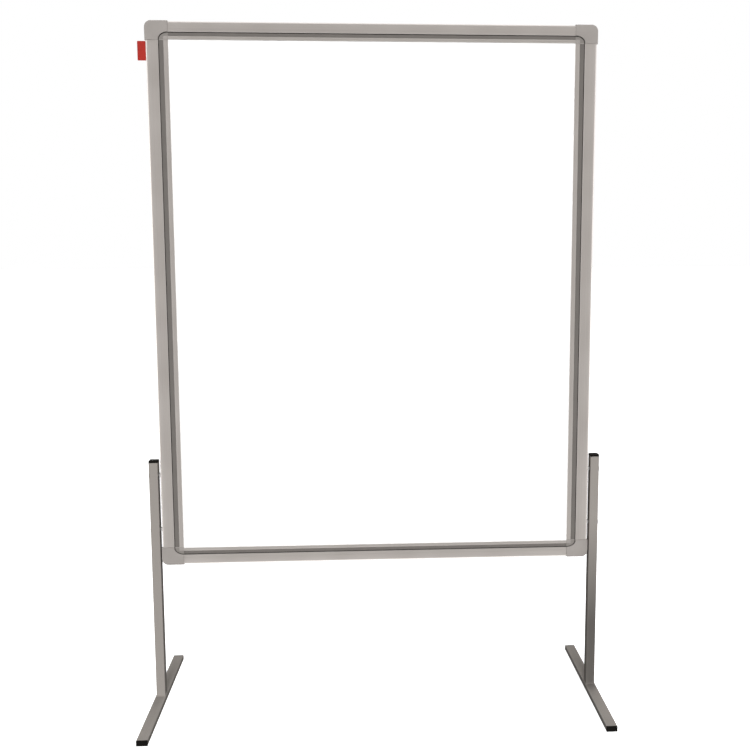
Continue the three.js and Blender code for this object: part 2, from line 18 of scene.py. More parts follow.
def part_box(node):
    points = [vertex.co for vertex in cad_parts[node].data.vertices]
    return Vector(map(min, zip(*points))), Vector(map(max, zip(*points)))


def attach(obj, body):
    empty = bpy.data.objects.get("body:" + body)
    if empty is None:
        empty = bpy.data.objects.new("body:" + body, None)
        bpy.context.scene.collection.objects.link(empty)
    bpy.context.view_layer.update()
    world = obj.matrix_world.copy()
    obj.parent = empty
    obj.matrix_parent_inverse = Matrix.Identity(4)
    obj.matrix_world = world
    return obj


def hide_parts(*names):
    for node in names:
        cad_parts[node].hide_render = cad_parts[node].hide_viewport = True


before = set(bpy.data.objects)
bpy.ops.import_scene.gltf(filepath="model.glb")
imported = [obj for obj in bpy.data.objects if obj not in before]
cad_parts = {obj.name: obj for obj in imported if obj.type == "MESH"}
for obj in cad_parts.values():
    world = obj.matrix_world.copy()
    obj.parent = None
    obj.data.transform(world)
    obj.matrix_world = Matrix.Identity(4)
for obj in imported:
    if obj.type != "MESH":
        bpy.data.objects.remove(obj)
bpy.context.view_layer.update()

MM = 0.001
FIT = 0.3 * MM  # the gap that the CAD model keeps between touching pieces


def add_object(name, data):
    """A new object in the scene, made of a mesh, a lamp or a camera."""
    thing = bpy.data.objects.new(name, data)
    bpy.context.scene.collection.objects.link(thing)
    return thing

# %% [markdown]
# ## The camera
# A camera is a place, a direction and a lens. This one stands a little left of the middle, at
# about the height of the upper third of the board, and looks slightly down and to the right.
# The small lens shift slides the view without turning the camera, which keeps the uprights
# almost parallel, as an architect's camera does.

# %% Camera
SENSOR_WIDTH = 36.0
camera_data = bpy.data.cameras.new("camera")
camera_data.sensor_width = SENSOR_WIDTH
camera_data.lens = 44.45
camera_data.shift_x = -0.0453
camera_data.shift_y = -0.0346
camera_data.dof.use_dof = False
camera = add_object("camera", camera_data)
camera.location = (-0.0466, -2.544, 1.2992)
camera.rotation_euler = (radians(90 - 6.7), radians(0.12), radians(-3.12))
bpy.context.scene.camera = camera
print("camera height:", camera.location.z, "lens:", camera_data.lens)

# %% [markdown]
# ## The studio
# In a white studio the background is white to the camera, while the object is lit on its own.
# Blender's Light Path node allows the same: it tells the world which kind of ray is asking, so
# that one world can hold three parts. The camera sees plain white. Matt surfaces get a dim even
# fill, which leaves the faces that look sideways in shade. Shiny surfaces see bright walls to the
# left and right, above and below, and a dimmer room in front and behind, and that is what draws a
# bright line along every rounded edge of satin metal.

# %% World
FILL = 0.13
ROOM_GLOSS = 0.62
ROOM_COLOUR = (1.0, 0.94, 0.89, 1.0)
WALL_GLOSS = 1.5
WALL_LEAN = 0.25  # how much brighter the left and lower walls are than the right and upper ones
WALL_START, WALL_FULL = 0.3, 0.8  # where the walls fade in, from 0 straight ahead to 1 sideways
WHITE = (1.0, 1.0, 1.0, 1.0)


def set_inputs(node, values):
    """Gives a node's inputs their values: plain ones, or the outputs of other nodes."""
    for name, value in values.items():
        if isinstance(value, bpy.types.NodeSocket):
            node.id_data.links.new(value, node.inputs[name])
        else:
            node.inputs[name].default_value = value


def add_node(tree, kind, values):
    """A new shader node with some of its inputs set."""
    node = tree.nodes.new(f"ShaderNode{kind}")
    set_inputs(node, values)
    return node


def calculate(tree, operation, first, second):
    """One Math node. Each input is a number or another node's output."""
    node = add_node(tree, "Math", {0: first, 1: second})
    node.operation = operation
    return node.outputs["Value"]


def background(tree, strength, colour=WHITE):
    """A Background node whose strength is a number or a node's output."""
    node = add_node(tree, "Background", {"Color": colour, "Strength": strength})
    return node.outputs["Background"]


def make_world():
    """White to the camera, FILL to matt surfaces, room plus walls to shiny ones.

    With (x, y, z) the direction of a ray, 1 - y * y is 0 straight ahead and 1 towards the walls.
    """
    world = bpy.data.worlds.new("studio")
    world.use_nodes = True
    world.cycles.sampling_method = "NONE"
    tree = world.node_tree
    tree.nodes.clear()
    ray = add_node(tree, "LightPath", {})
    direction = add_node(tree, "TexCoord", {}).outputs["Generated"]
    split = add_node(tree, "SeparateXYZ", {"Vector": direction})
    x, y, z = (split.outputs[axis] for axis in "XYZ")
    sideways = calculate(tree, "SUBTRACT", 1.0, calculate(tree, "MULTIPLY", y, y))
    wall = add_node(tree, "MapRange", {
        "Value": sideways, "From Min": WALL_START, "From Max": WALL_FULL})
    wall.interpolation_type = "SMOOTHSTEP"
    lean = calculate(tree, "MULTIPLY", calculate(tree, "ADD", x, z), -WALL_LEAN)
    leaning = calculate(tree, "ADD", lean, WALL_GLOSS)
    walls = background(tree, calculate(tree, "MULTIPLY", wall.outputs["Result"], leaning))
    room = background(tree, ROOM_GLOSS, ROOM_COLOUR)
    shiny = add_node(tree, "AddShader", {0: walls, 1: room}).outputs["Shader"]
    surface = background(tree, FILL)
    for flag, shader in (("Is Glossy Ray", shiny), ("Is Camera Ray", background(tree, 1.0))):
        mix = add_node(tree, "MixShader", {"Fac": ray.outputs[flag], 1: surface, 2: shader})
        surface = mix.outputs["Shader"]
    add_node(tree, "OutputWorld", {"Surface": surface})
    bpy.context.scene.world = world


make_world()
bpy.context.scene.view_settings.view_transform = "Standard"
print("world: fill", FILL, "room", ROOM_GLOSS, "walls", WALL_GLOSS)

# %% [markdown]
# ## The floor
# One large plane, matt and almost white. It is also lit a little from within, as a light table
# is, so that it stays white where the board takes some of its light, and only the close contact
# of feet and floor shows. It is hidden from matt and shiny surfaces, or its glow would light
# the object from below.

# %% Floor
FLOOR_HALF = 40.0
FLOOR_GLOW = 0.85
FLOOR_GREY = (0.85, 0.85, 0.85, 1.0)
FLOOR_DROP = 0.2 * MM  # keeps the floor's plane out of the plane of the feet


def make_stage_sheet(name, corners, material):
    """A stage object of one four-sided face, which matt and shiny surfaces don't see."""
    mesh = bpy.data.meshes.new(name)
    mesh.from_pydata(corners, [], [(0, 1, 2, 3)])
    mesh.materials.append(material)
    sheet = add_object(name, mesh)
    sheet.visible_diffuse = sheet.visible_glossy = False
    return sheet


def make_floor():
    """A square plane just below height 0, with a matt white finish that glows a little."""
    material = bpy.data.materials.new("studio_floor")
    material.use_nodes = True
    set_inputs(material.node_tree.nodes["Principled BSDF"], {
        "Base Color": FLOOR_GREY,
        "Roughness": 0.9,
        "Specular IOR Level": 0.1,
        "Emission Color": WHITE,
        "Emission Strength": FLOOR_GLOW,
    })
    around = ((-1, -1), (1, -1), (1, 1), (-1, 1))
    corners = [(i * FLOOR_HALF, j * FLOOR_HALF, -FLOOR_DROP) for i, j in around]
    make_stage_sheet("floor", corners, material)


make_floor()
print("floor:", 2 * FLOOR_HALF, "m wide")

# %% [markdown]
# ## The lights
# The key light is a wide sun in front, low enough that the board's shadow falls far behind it. A
# weaker one behind does the same work for the back of the board. Two area lamps stand at the
# sides: near lamps fade with distance, so each lights the outer side of the leg next to it and
# hardly reaches the inner side of the other.

# %% Lights
def lamp(name, kind, place, direction):
    """A lamp whose light travels along `direction`. It is never seen by the camera itself."""
    data = bpy.data.lights.new(name, kind)
    thing = add_object(name, data)
    thing.location = place
    thing.rotation_euler = Vector(direction).to_track_quat("-Z", "Y").to_euler()
    thing.visible_camera = False
    return data


def soft_sun(name, direction, strength, angle):
    """A wide sun that lights matt surfaces. Shiny ones see the world instead of it."""
    data = lamp(name, "SUN", (0, 0, 3), direction)
    data.energy = strength
    data.angle = radians(angle)
    bpy.data.objects[name].visible_glossy = False


def soft_box(name, place, direction, width, height, watts):
    data = lamp(name, "AREA", place, direction)
    data.shape = "RECTANGLE"
    data.size, data.size_y = width, height
    data.energy = watts


soft_sun("front_key", (0, 0.906, -0.423), strength=3.5, angle=16)
soft_sun("back_light", (-0.1, -0.93, -0.35), strength=2.4, angle=36)
soft_box("left_side", (-1.5, 0, 0.9), (1, 0, -0.1), width=0.8, height=1.8, watts=3)
soft_box("right_side", (1.5, 0, 0.9), (-1, 0, -0.1), width=0.8, height=1.8, watts=3)

# %% [markdown]
# ## The scrim
# A scrim is a net that takes some of a lamp's light. This one stands out of sight just before the
# right post and is denser at the bottom, so the post grows darker towards its foot. It is one
# face with a Transparent shader, whose colour is the share of light that it lets through.

# %% Scrim
SCRIM_DISTANCE = 0.12
SCRIM_WIDTH = 0.062
SCRIM_BOTTOM = 0.062
SCRIM_DENSE, SCRIM_CLEAR = 0.26, 0.56  # heights between which it thins out
SCRIM_LEAST = 0.28  # share of the light that its dense part lets through


def scrim_cloth():
    """Lets through SCRIM_LEAST of the light up to SCRIM_DENSE, and all of it at SCRIM_CLEAR."""
    cloth = bpy.data.materials.new("scrim_cloth")
    cloth.use_nodes = True
    tree = cloth.node_tree
    tree.nodes.clear()
    place = add_node(tree, "TexCoord", {}).outputs["Object"]
    height = add_node(tree, "SeparateXYZ", {"Vector": place}).outputs["Z"]
    fade = add_node(tree, "MapRange", {
        "Value": height, "From Min": SCRIM_DENSE, "From Max": SCRIM_CLEAR,
        "To Min": SCRIM_LEAST, "To Max": 1.0})
    clear = add_node(tree, "BsdfTransparent", {"Color": fade.outputs["Result"]})
    add_node(tree, "OutputMaterial", {"Surface": clear.outputs["BSDF"]})
    return cloth


post_low, post_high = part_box("right_post")
scrim_x = post_high.x - 5 * MM
scrim_y = post_low.y - SCRIM_DISTANCE
left, right = scrim_x - SCRIM_WIDTH / 2, scrim_x + SCRIM_WIDTH / 2
scrim_corners = [(x, scrim_y, z) for x, z in (
    (left, SCRIM_BOTTOM), (right, SCRIM_BOTTOM), (right, SCRIM_CLEAR), (left, SCRIM_CLEAR))]
make_stage_sheet("scrim", scrim_corners, scrim_cloth()).visible_camera = False
print("scrim at x", round(scrim_x, 3), "y", round(scrim_y, 3))

# %% [markdown]
# ## Finishes
# Every finish is a node tree on one Principled shader. The nodes read Object coordinates, which
# here are metres in the object's own frame, so a grain of half a millimetre is half a millimetre
# everywhere. Small helpers keep the trees short: they start a material, make a noise texture with
# its own stretch, spread it over a range of values or colours, or turn it into a bump.

# %% Material helpers
def start_material(name, colour, roughness, metallic=0.0):
    """A material with one Principled shader, and the values that are the same all over it."""
    material = bpy.data.materials.new(name)
    material.use_nodes = True
    shader = material.node_tree.nodes["Principled BSDF"]
    set_inputs(shader, {"Base Color": (*colour, 1.0), "Roughness": roughness, "Metallic": metallic})
    return material, material.node_tree, shader


def noise(tree, scale, detail=2.0, stretch=(1.0, 1.0, 1.0), roughness=0.5):
    """Noise on Object coordinates. `scale` is how many waves fit in a metre, times `stretch`."""
    place = add_node(tree, "TexCoord", {}).outputs["Object"]
    mapping = add_node(tree, "Mapping", {"Vector": place, "Scale": stretch})
    texture = add_node(tree, "TexNoise", {
        "Vector": mapping.outputs["Vector"],
        "Scale": scale, "Detail": detail, "Roughness": roughness})
    return texture.outputs["Fac"]


def spread(tree, value, low, high, low_in=0.3, high_in=0.7):
    """Maps a texture's middle range to the values between low and high."""
    node = add_node(tree, "MapRange", {
        "Value": value, "From Min": low_in, "From Max": high_in, "To Min": low, "To Max": high})
    return node.outputs["Result"]


def tint(tree, value, dark, light, low_in=0.3, high_in=0.7):
    """Mixes two colours by a texture."""
    factor = spread(tree, value, 0.0, 1.0, low_in, high_in)
    # A Mix node's inputs 6 and 7 and its output 2 are its colours.
    node = add_node(tree, "Mix", {0: factor, 6: (*dark, 1.0), 7: (*light, 1.0)})
    node.data_type = "RGBA"
    return node.outputs[2]


def bump(tree, shader, height, depth, strength):
    """Gives the shader a bump whose full height is `depth` metres."""
    node = add_node(tree, "Bump", {"Height": height, "Distance": depth, "Strength": strength})
    set_inputs(shader, {"Normal": node.outputs["Normal"]})


# %% [markdown]
# **Anodised aluminium.** An extrusion leaves the die with very fine lines along its length, and
# anodising turns the metal satin. The noise is squeezed across the profile and stretched along
# it. Uprights and rails run in different directions, so each has its own material.

# %% Aluminium
ALUMINIUM = (0.51, 0.49, 0.475)
LINES_ACROSS = 900.0  # waves to the metre
LINES_ALONG = 0.6


def shade(colour, factor):
    """A colour made darker or lighter by one factor."""
    return tuple(float(c) * factor for c in colour)


def colour_by(tree, shader, texture, colour, dark, light, *texture_range):
    """Colours the shader by a texture, between `dark` and `light` times one colour."""
    mixed = tint(tree, texture, shade(colour, dark), shade(colour, light), *texture_range)
    set_inputs(shader, {"Base Color": mixed})


def roughen_by(tree, shader, texture, low, high):
    """Makes the shader's roughness vary with a texture, between `low` and `high`."""
    set_inputs(shader, {"Roughness": spread(tree, texture, low, high)})


def make_aluminium(name, along):
    """Satin metal with fine drawn lines along one axis: 0 is X and 2 is Z."""
    material, tree, shader = start_material(name, ALUMINIUM, 0.4, 0.9)
    lines = [LINES_ACROSS] * 3
    lines[along] = LINES_ALONG
    drawn = noise(tree, 1.0, 3.0, lines)
    cloud = noise(tree, 9.0, 3.0)
    colour_by(tree, shader, drawn, ALUMINIUM, 0.95, 1.04)
    roughen_by(tree, shader, cloud, 0.36, 0.46)
    bump(tree, shader, drawn, depth=0.03 * MM, strength=0.35)
    set_inputs(shader, {"Anisotropic": 0.3})
    return material


aluminium_upright = make_aluminium("aluminium_upright", 2)
aluminium_level = make_aluminium("aluminium_level", 0)

# %% [markdown]
# **Plastics.** Moulded covers have a fine eroded grain from the mould. A noise at about three
# grains to the millimetre gives it, with a slow cloud in colour so that a large flat face isn't dead.

# %% Plastics
def make_plastic(name, colour, roughness, grain=2800.0):
    """Moulded plastic with an eroded grain. `grain` is how many waves fit in a metre."""
    material, tree, shader = start_material(name, colour, roughness)
    grains = noise(tree, grain, 2.0)
    cloud = noise(tree, 22.0, 3.0)
    colour_by(tree, shader, cloud, colour, 0.95, 1.05)
    roughen_by(tree, shader, grains, roughness - 0.06, roughness + 0.06)
    bump(tree, shader, grains, depth=0.04 * MM, strength=0.5)
    return material


corner_plastic = make_plastic("corner_plastic", (0.312, 0.289, 0.272), 0.5)
groove_plastic = make_plastic("groove_plastic", (0.134, 0.124, 0.115), 0.55, grain=1600.0)
# The corner strips' grey is painted shade: darker than the covers, for the shade in their recesses.
recess_shade_grey = make_plastic("recess_shade_grey", (0.215, 0.2, 0.186), 0.55, grain=1600.0)
black_plastic = make_plastic("black_plastic", (0.0055, 0.005, 0.0045), 0.7)
# Near-black cord in the slits: painted shade, standing for the flange wall's shadow along the groove.
seal_rubber = make_plastic("seal_rubber", (0.012, 0.011, 0.01), 0.8, grain=1200.0)
tab_plastic = make_plastic("tab_plastic", (0.33, 0.022, 0.016), 0.5)
for dark in (black_plastic, seal_rubber):
    set_inputs(dark.node_tree.nodes["Principled BSDF"], {"Specular IOR Level": 0.05})

# %% [markdown]
# **Enamel.** The writing sheet is steel with a baked white enamel. Nearly all of its look is a
# clean gloss over white. Wiping leaves faint broad streaks that only show in the gloss, so they
# go in the roughness, and the fired surface is very slightly wavy.

# %% Enamel
def make_enamel():
    """Glossy white with broad faint streaks in its gloss."""
    material, tree, shader = start_material("white_enamel", (0.93, 0.93, 0.925), 0.2)
    set_inputs(shader, {"Coat Weight": 0.4, "Coat Roughness": 0.08})
    streaks = noise(tree, 1.0, 4.0, (2.2, 1.0, 14.0), 0.6)
    ripple = noise(tree, 34.0, 1.0)
    roughen_by(tree, shader, streaks, 0.16, 0.27)
    bump(tree, shader, ripple, depth=0.05 * MM, strength=0.3)
    return material


white_enamel = make_enamel()

# %% [markdown]
# **Powder coat.** The legs are steel tube with a matt silver-grey powder coat. Powder flows into
# a low pebbled skin when it is baked, called orange peel, and tiny metal flakes vary its tone a
# little. The peel is a noise of about 2 mm; the flakes are Voronoi cells of a third of a millimetre.

# %% Powder coat
COAT = (0.294, 0.271, 0.25)


def make_powder_coat():
    """Matt grey with metal flakes in its colour and orange peel in its surface."""
    material, tree, shader = start_material("powder_coat", COAT, 0.55)
    set_inputs(shader, {"Specular IOR Level": 0.0})
    place = add_node(tree, "TexCoord", {}).outputs["Object"]
    flakes = add_node(tree, "TexVoronoi", {"Vector": place, "Scale": 3000.0})
    sparkle = spread(tree, flakes.outputs["Distance"], 0.0, 1.0, 0.1, 0.7)
    colour_by(tree, shader, sparkle, COAT, 0.9, 1.08, 0.0, 1.0)
    peel = noise(tree, 520.0, 1.0)
    roughen_by(tree, shader, peel, 0.46, 0.56)
    bump(tree, shader, peel, depth=0.04 * MM, strength=0.5)
    return material


powder_coat = make_powder_coat()

# %% [markdown]
# **The rest.** Zinc-plated fasteners are bright with a mottled plating. The brackets inside the
# corners are cast, and the panel's core is raw fibre board. They hardly show, but they are
# finished all the same, so that the model can be opened.

# %% Metals and board
def make_mottled(name, colour, roughness, metallic, scale, depth):
    """One noise in colour, roughness and bump, for surfaces that are uneven in all three."""
    material, tree, shader = start_material(name, colour, roughness, metallic)
    mottle = noise(tree, scale, 4.0, roughness=0.6)
    colour_by(tree, shader, mottle, colour, 0.85, 1.1)
    roughen_by(tree, shader, mottle, roughness - 0.08, roughness + 0.1)
    bump(tree, shader, mottle, depth, strength=0.5)
    return material


zinc_plate = make_mottled("zinc_plate", (0.62, 0.63, 0.64), 0.3, 1.0, 700.0, 0.02 * MM)
cast_metal = make_mottled("cast_metal", (0.42, 0.43, 0.44), 0.55, 0.9, 900.0, 0.12 * MM)
fibre_board = make_mottled("fibre_board", (0.50, 0.38, 0.24), 0.85, 0.0, 260.0, 0.2 * MM)
print("finishes:", len(bpy.data.materials))

# %% [markdown]
# ## Shape helpers
# Nearly every piece here is a grid of points: rows that are outlines, placed one after another.
# `grid_mesh` joins the points of such a grid with four-sided faces, closes it where it has to be
# closed, and points its faces outward.

# %% Grid to mesh
SHARP_ANGLE = radians(38)


def finish_mesh(name, points, faces, material, slot, body="board", replaced=()):
    """Makes the object: merges doubles, turns faces outward, smooths all but the sharp edges."""
    mesh = bpy.data.meshes.new(name)
    mesh.from_pydata(points.tolist(), [], faces)
    shape = bmesh.new()
    shape.from_mesh(mesh)
    bmesh.ops.remove_doubles(shape, verts=shape.verts, dist=2e-6)
    bmesh.ops.dissolve_degenerate(shape, edges=shape.edges, dist=1e-7)
    bmesh.ops.recalc_face_normals(shape, faces=shape.faces)
    shape.to_mesh(mesh)
    shape.free()
    mesh.polygons.foreach_set("use_smooth", np.ones(len(mesh.polygons), bool))
    mesh.set_sharp_from_angle(angle=SHARP_ANGLE)
    mesh.materials.append(material)
    piece = add_object(name, mesh)
    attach(piece, body)
    if replaced:
        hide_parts(*replaced)
    return piece


def grid_faces(rows, columns, wrap_rows, wrap_columns):
    """Four corners for each cell of a grid: a point, the next in its row, and the two below."""
    r = np.arange(rows if wrap_rows else rows - 1)
    c = np.arange(columns if wrap_columns else columns - 1)
    r, c = (a.ravel() for a in np.meshgrid(r, c, indexing="ij"))
    below = (r + 1) % rows
    beside = (c + 1) % columns
    corners = (r * columns + c, r * columns + beside, below * columns + beside, below * columns + c)
    return np.stack(corners, axis=1)


def grid_mesh(name, grid, wrap_rows=False, wrap_columns=True, **finish):
    """A closed mesh from a (rows, columns, 3) grid. Open ends are closed with one flat face."""
    rows, columns = grid.shape[:2]
    index = np.arange(rows * columns).reshape(rows, columns)
    faces = grid_faces(rows, columns, wrap_rows, wrap_columns).tolist()
    if not wrap_rows:
        faces += [index[0].tolist(), index[-1].tolist()]
    if not wrap_columns:
        faces += [index[:, 0].tolist(), index[:, -1].tolist()]
    return finish_mesh(name, grid.reshape(-1, 3), faces, **finish)


# %% [markdown]
# Real edges are never sharp. `rounded_outline` takes the corners of an outline, each with its
# own radius, and swaps each corner for an arc that touches both of its sides.

# %% Rounded outlines
def unit(vectors):
    """Vectors scaled to length one."""
    return vectors / np.linalg.norm(vectors, axis=-1, keepdims=True)


def rounded_outline(corners, steps=4):
    """Swaps each corner (x, y, radius) for an arc that is tangent to both of its sides.

    With h half the angle between the sides, the arc starts radius / tan(h) from the corner and
    its centre lies radius / sin(h) away along the bisector. The points between turn evenly
    from the first radius to the second.
    """
    data = np.asarray(corners, float)
    point, radius = data[:, :2], data[:, 2:3]
    back = unit(np.roll(point, 1, axis=0) - point)
    ahead = unit(np.roll(point, -1, axis=0) - point)
    half = np.arccos(np.clip((back * ahead).sum(1, keepdims=True), -1, 1)) / 2
    centre = point + unit(back + ahead) * radius / np.sin(half)
    first = point + back * radius / np.tan(half) - centre
    last = point + ahead * radius / np.tan(half) - centre
    turn = (pi - 2 * half)[:, None]
    k = np.linspace(0, 1, steps + 1)[None, :, None]
    swing = (np.sin((1 - k) * turn) * first[:, None] + np.sin(k * turn) * last[:, None]) / np.sin(turn)
    return (centre[:, None] + swing).reshape(-1, 2)


def rounded_rectangle(half_x, half_y, radius, steps=5):
    """A rectangle around the origin with rounded corners."""
    r = max(radius, 1e-6)
    return rounded_outline(
        [(-half_x, -half_y, r), (half_x, -half_y, r), (half_x, half_y, r), (-half_x, half_y, r)], steps)


# %% [markdown]
# ## The frame's sizes
# The section of a profile is read from the boxes of the CAD nodes: the inlay says where the
# groove is, the sheet says where the lip must be, and the profile's own box gives the rest.

# %% Frame sizes
INLAY_SLIT = 1.0 * MM  # the CAD inlay's distance from the flange
SLIT = 1.5 * MM  # the finished inlay's, which leaves room for the cord of painted shade


def size_of(stile_or_rail, inlay, axis):
    """Flange, groove and lip widths of a profile whose outer edge is at its box's low side."""
    low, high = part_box(stile_or_rail)
    inlay_low, inlay_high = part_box(inlay)
    return {
        "flange": inlay_low[axis] - INLAY_SLIT - low[axis],
        "groove": inlay_high[axis] - inlay_low[axis] + INLAY_SLIT + FIT,
        "lip": high[axis] - inlay_high[axis] - FIT,
    }


STILE = size_of("frame_stile_left", "groove_inlay_stile_left_front", 0)
RAIL = size_of("frame_rail_bottom", "groove_inlay_rail_bottom_front", 2)
STILE["edge"] = 5 * MM
RAIL["edge"] = 4 * MM

stile_low, stile_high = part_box("frame_stile_left")
right_low, right_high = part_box("frame_stile_right")
bottom_low, bottom_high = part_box("frame_rail_bottom")
top_low, top_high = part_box("frame_rail_top")
sheet_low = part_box("writing_sheet_front")[0]
inlay_low, inlay_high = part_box("groove_inlay_stile_left_front")

LEFT, RIGHT = stile_low.x, right_high.x
BOTTOM, TOP = bottom_low.z, top_high.z
WALL = 2 * MM
FACE = -stile_low.y  # flange face, from the middle plane
WALL_INNER = FACE - WALL
LIP_INNER = -sheet_low.y + FIT
LIP_FACE = LIP_INNER + WALL
INLAY_FACE = -inlay_low.y
GROOVE_FLOOR = -inlay_high.y - FIT
SLOT_WALL = 2.5 * MM
SLOT_DEPTH = 9 * MM
SLOT_MOUTH = 9 * MM
for label, size in (("stile", STILE), ("rail", RAIL)):
    print(label, "mm:", {key: round(value / MM, 2) for key, value in size.items()})

# %% [markdown]
# ## Frame profiles
# A profile is one section carried along a straight path. The section is symmetric, so only the
# front half is written down and the back half is its mirror image. Inside are a chamber for the
# corner bracket and the space under the groove. The ends are flat faces with holes in them,
# which `tessellate_polygon` cuts into triangles.

# %% Profiles
def profile_corners(size, has_slot):
    """The section's corners (across, depth, radius), the front half and then its mirror image."""
    groove_start = size["flange"]
    lip_start = groove_start + size["groove"]
    lip_end = lip_start + size["lip"]
    half = [
        (0, -FACE, size["edge"]),
        (groove_start, -FACE, 0.7 * MM),
        (groove_start, -GROOVE_FLOOR, 0.3 * MM),
        (lip_start, -GROOVE_FLOOR, 0.3 * MM),
        (lip_start, -LIP_FACE, 0.5 * MM),
        (lip_end, -LIP_FACE, 0.8 * MM),
        (lip_end, -LIP_INNER, 0.4 * MM),
        (lip_start + WALL, -LIP_INNER, 0.2 * MM),
    ]
    if has_slot:
        edge = size["edge"]
        slot = [
            (SLOT_DEPTH, -WALL_INNER, 0.4 * MM),
            (edge, -WALL_INNER, 0.4 * MM),
            (SLOT_WALL, edge - FACE, 0.3 * MM),
            (SLOT_WALL, -SLOT_MOUTH / 2, 0.3 * MM),
            (0, -SLOT_MOUTH / 2, 0.4 * MM),
        ]
        half = slot + half
    return half + [(x, -y, r) for x, y, r in reversed(half)]


def profile_holes(size, has_slot):
    """The bracket's chamber and the space under the groove, as outlines."""
    start = SLOT_DEPTH + WALL if has_slot else WALL
    end = size["flange"] - WALL
    under = GROOVE_FLOOR - WALL
    boxes = [(start, end, WALL_INNER), (size["flange"], size["flange"] + size["groove"], under)]
    r = 0.3 * MM
    return [
        rounded_outline([(x0, -h, r), (x1, -h, r), (x1, h, r), (x0, h, r)], 2) for x0, x1, h in boxes
    ]


def bar(name, outline, holes, place, start, end, **finish):
    """Carries a section along a straight path: `place` maps (across, depth, along) to x, y, z."""
    loops = [outline] + list(holes)
    count = sum(len(loop) for loop in loops)
    across, depth = np.concatenate(loops).T
    points = np.concatenate([place(across, depth, np.full(count, at)) for at in (start, end)])
    faces, first = [], 0
    for loop in loops:
        ring = first + np.arange(len(loop))
        ahead = first + (np.arange(len(loop)) + 1) % len(loop)
        faces += np.stack([ring, ahead, ahead + count, ring + count], axis=1).tolist()
        first += len(loop)
    end_face = tessellate_polygon([[Vector((x, y, 0)) for x, y in loop] for loop in loops])
    faces += [list(t) for t in end_face]
    faces += [[i + count for i in t] for t in end_face]
    return finish_mesh(name, points, faces, **finish)


# Each profile's sizes, its place (how across, depth, along become x, y, z), its start and end.
PROFILES = {
    "stile_left": (
        STILE, lambda a, d, s: np.stack([LEFT + a, d, s], axis=1), stile_low.z, stile_high.z),
    "stile_right": (
        STILE, lambda a, d, s: np.stack([RIGHT - a, d, s], axis=1), right_low.z, right_high.z),
    "rail_bottom": (
        RAIL, lambda a, d, s: np.stack([s, d, BOTTOM + a], axis=1), bottom_low.x, bottom_high.x),
    "rail_top": (
        RAIL, lambda a, d, s: np.stack([s, d, TOP - a], axis=1), top_low.x, top_high.x),
}

for name, (size, place, start, end) in PROFILES.items():
    upright = size is STILE
    outline = rounded_outline(profile_corners(size, upright), 5)
    piece = bar(
        f"profile_{name}", outline, profile_holes(size, upright), place, start, end,
        material=aluminium_upright if upright else aluminium_level,
        replaced=[f"frame_{name}"], slot="aluminium")
    print(piece.name, "faces:", len(piece.data.polygons))

# %% [markdown]
# ## Groove inlays
# A ribbed strip of darker plastic is pressed into each groove. Its top is a row of shallow
# waves across the strip, and the section runs straight along the profile.

# %% Inlays
RIBS = 4
RIB_HEIGHT = 0.22 * MM


def inlay_outline(size, side):
    """A flat-bottomed strip whose top is RIBS cosine waves, RIB_HEIGHT deep."""
    start = size["flange"] + SLIT
    width = size["groove"] - SLIT - FIT
    t = np.linspace(0, 1, RIBS * 8 + 1)
    top = INLAY_FACE - RIB_HEIGHT * (1 + np.cos(2 * pi * RIBS * t)) / 2
    across = np.concatenate([[start, start + width], start + width * t[::-1]])
    depth = np.concatenate([[GROOVE_FLOOR + FIT] * 2, top])
    return np.stack([across, side * depth], axis=1)


for name, (size, place, start, end) in PROFILES.items():
    for face, side in (("front", -1), ("back", 1)):
        bar(f"inlay_{name}_{face}", inlay_outline(size, side), [], place, start, end,
            material=groove_plastic, replaced=[f"groove_inlay_{name}_{face}"], slot="groove_inlay")
print("inlays: ribs of", RIB_HEIGHT / MM, "mm")

# %% [markdown]
# ## Corner covers
# A cover wraps round the board's corner. Seen from the opening's corner, everything on it lies
# in rings: a small patch where the two lips meet, the groove turning the corner, a step up to the
# flange face, and the rounded outer edge. So the cover is a fan of rays from that point. Each
# ring is an outline with a depth, sampled where the rays cross it, and a last set of rings runs
# back along the inside to make a hollow shell.

# %% Corner cover rings
cover_low, cover_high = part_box("corner_cover_bottom_left_front")
PROUD_SIDE = LEFT - cover_low.x
COVER_FACE = -cover_low.y
COVER_BACK = -cover_high.y
COVER_RADIUS = 17 * MM
COVER_WALL = 2.2 * MM
STEP = 0.9 * MM  # rounding of the step between groove and flange face
ROUND_OVER = 2.4 * MM  # rounding of the outer edge
STILE_WIDTH = sum(STILE[key] for key in ("flange", "groove", "lip"))
RAIL_WIDTH = sum(RAIL[key] for key in ("flange", "groove", "lip"))
OVERRUN = cover_high.z - BOTTOM - RAIL_WIDTH
RAYS = np.linspace(0, pi / 2, 61)


def sample_by_ray(outline):
    """The points where rays from the origin cross an outline that runs from angle 0 to 90."""
    angle = np.arctan2(outline[:, 0], outline[:, 1])
    return np.stack([np.interp(RAYS, angle, outline[:, k]) for k in (0, 1)], axis=1)


def square_ring(x, z, r, count):
    """Two straight sides at x and z, joined by an arc of `count` points."""
    t = np.linspace(0, pi / 2, count)
    arc = np.stack([x - r + r * np.sin(t), z - r + r * np.cos(t)], axis=1)
    return sample_by_ray(np.concatenate([[[0, z]], arc, [[x, 0]]]))


def box_ring(grow=0.0, scale=1.0):
    """The border of the lip patch: out along one lip and back along the other."""
    x, z = (STILE["lip"] + grow) * scale, (RAIL["lip"] + grow) * scale
    return square_ring(x, z, min(x, z) * 0.12, 9)


def ellipse_ring(grow=0.0):
    """A quarter ellipse whose half axes are the widths of lip and groove together."""
    x = STILE["lip"] + STILE["groove"] + grow
    z = RAIL["lip"] + RAIL["groove"] + grow
    t = np.linspace(0, pi / 2, 181)
    return sample_by_ray(np.stack([x * np.sin(t), z * np.cos(t)], axis=1))


